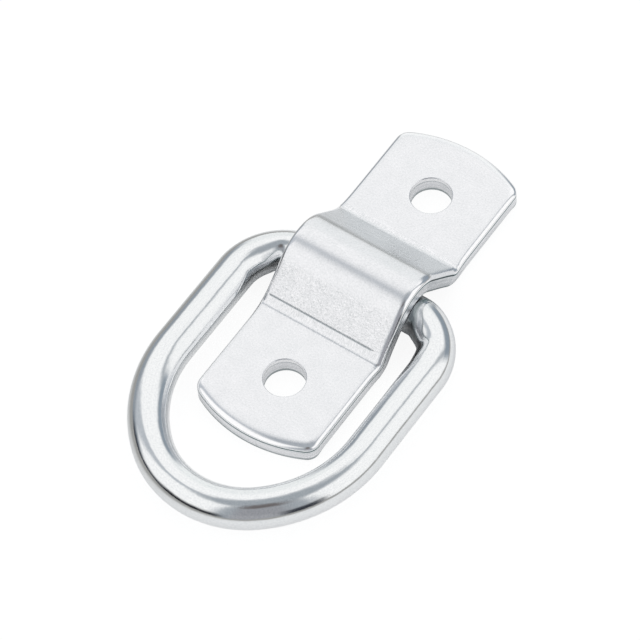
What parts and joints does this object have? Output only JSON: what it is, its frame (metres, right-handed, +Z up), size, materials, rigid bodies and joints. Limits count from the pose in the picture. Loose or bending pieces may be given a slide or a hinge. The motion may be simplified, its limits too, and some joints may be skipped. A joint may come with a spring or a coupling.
{
  "type": "d-ring tie-down",
  "caption": "Loose D-ring of round wire held under the hump of a folded flat strap with arched ends and bolt holes.",
  "frame": {"origin": "midway between the two bolt holes, on the strap's flat underside", "axes": "+Z up off the mounting surface, +Y along the strap away from the resting ring, +X across the strap"},
  "size_m": [0.0521, 0.0984, 0.0132],
  "materials": {
    "strap_zinc": "satin, barrel zinc plated",
    "ring_zinc": "bright, zinc plated drawn wire"
  },
  "bodies": {
    "strap": {"mounting_strap": "strap_zinc"},
    "ring": {"d_ring": "ring_zinc"}
  },
  "joints": [
    {"name": "ring_swing", "type": "hinge", "parent": "strap", "child": "ring", "pos_m": [0, 0, 0.0043], "axis": [-1, 0, 0], "range_deg": [0, 180]}
  ]
}
